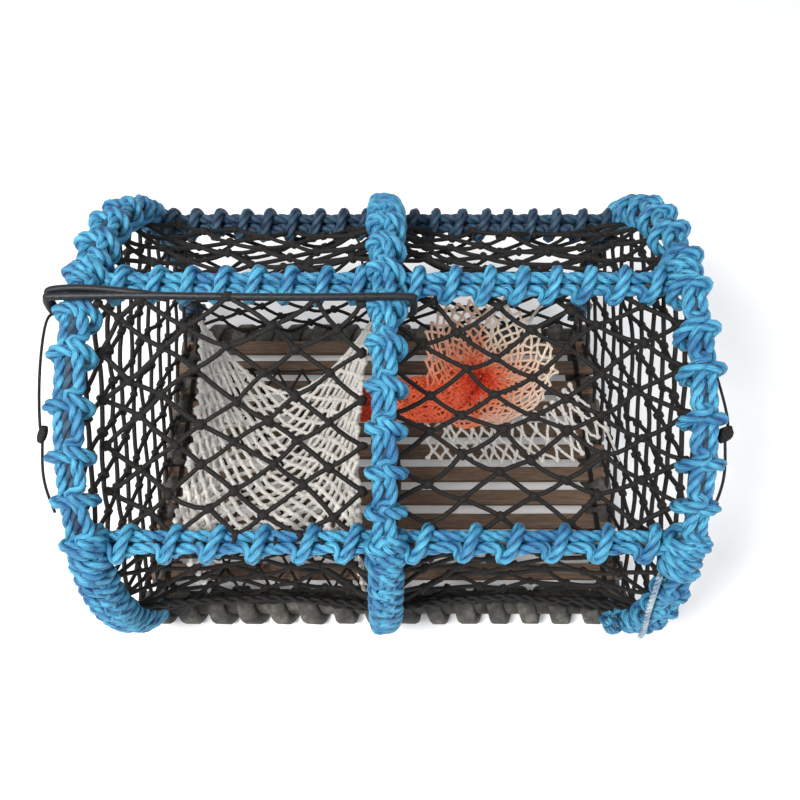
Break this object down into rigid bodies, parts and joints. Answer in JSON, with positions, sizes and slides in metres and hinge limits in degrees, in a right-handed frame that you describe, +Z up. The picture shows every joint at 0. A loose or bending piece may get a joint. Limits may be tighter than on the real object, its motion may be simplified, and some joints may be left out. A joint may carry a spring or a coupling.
{
  "type": "lobster trap",
  "caption": "Hooped net trap with rope-lashed hoops and rails, rubber-wrapped base, slatted floor, entrance eye, inner parlour eye and a hinged net door.",
  "frame": {"origin": "middle of the base on the surface it stands on, on the worn underside of the middle rubber bar", "axes": "+X along the trap from the entrance room to the parlour, +Y to the back, +Z up"},
  "size_m": [0.6274, 0.5146, 0.4148],
  "materials": {
    "steel_rod": "dark coated mild steel rod, satin",
    "rubber_strip": "dull dark grey rubber strip",
    "slat_wood": "bare weathered brown slat",
    "blue_rope": "laid blue polypropylene rope, slight sheen",
    "black_netting": "braided black netting twine",
    "white_netting": "soft white netting",
    "orange_netting": "soft orange red netting",
    "peach_netting": "peach netting fading to white",
    "elastic_cord": "black sheathed elastic cord"
  },
  "bodies": {
    "trap": {"base_bars": "steel_rod", "base_cross_bar": "steel_rod", "left_hoop": "steel_rod", "middle_hoop": "steel_rod", "right_hoop": "steel_rod", "front_rail": "steel_rod", "top_rail": "steel_rod", "back_rail": "steel_rod", "front_rubber": "rubber_strip", "back_rubber": "rubber_strip", "left_rubber": "rubber_strip", "right_rubber": "rubber_strip", "middle_rubber": "rubber_strip", "floor_slat_1": "slat_wood", "floor_slat_2": "slat_wood", "floor_slat_3": "slat_wood", "floor_slat_4": "slat_wood", "floor_slat_5": "slat_wood", "floor_slat_6": "slat_wood", "floor_slat_7": "slat_wood", "floor_slat_8": "slat_wood", "floor_slat_9": "slat_wood", "floor_slat_10": "slat_wood", "floor_slat_11": "slat_wood", "slat_lashings": "black_netting", "left_hoop_rope": "blue_rope", "middle_hoop_rope": "blue_rope", "right_hoop_rope": "blue_rope", "left_hoop_hitches": "blue_rope", "middle_hoop_hitches": "blue_rope", "right_hoop_hitches": "blue_rope", "left_whippings": "blue_rope", "middle_whippings": "blue_rope", "right_whippings": "blue_rope", "front_rope_left": "blue_rope", "front_rope_right": "blue_rope", "top_rope_left": "blue_rope", "top_rope_right": "blue_rope", "back_rope_left": "blue_rope", "back_rope_right": "blue_rope", "top_net": "black_netting", "crown_net_left": "black_netting", "crown_net_right": "black_netting", "back_net_left": "black_netting", "back_net_right": "black_netting", "front_net_left": "black_netting", "front_net_right": "black_netting", "left_end_net": "black_netting", "right_end_net": "black_netting", "partition_net": "black_netting", "entrance_eye": "white_netting", "eye_ties": "black_netting", "parlour_sleeve": "orange_netting", "parlour_flare": "peach_netting", "flare_ties": "white_netting", "end_knots": "black_netting"},
    "door": {"door_net": "black_netting", "door_loops": "black_netting", "bungee_cord": "elastic_cord"}
  },
  "joints": [
    {"name": "door_fold", "type": "hinge", "parent": "trap", "child": "door", "pos_m": [0, -0.195, 0.26546], "axis": [1, 0, 0], "range_deg": [0, 170]}
  ]
}
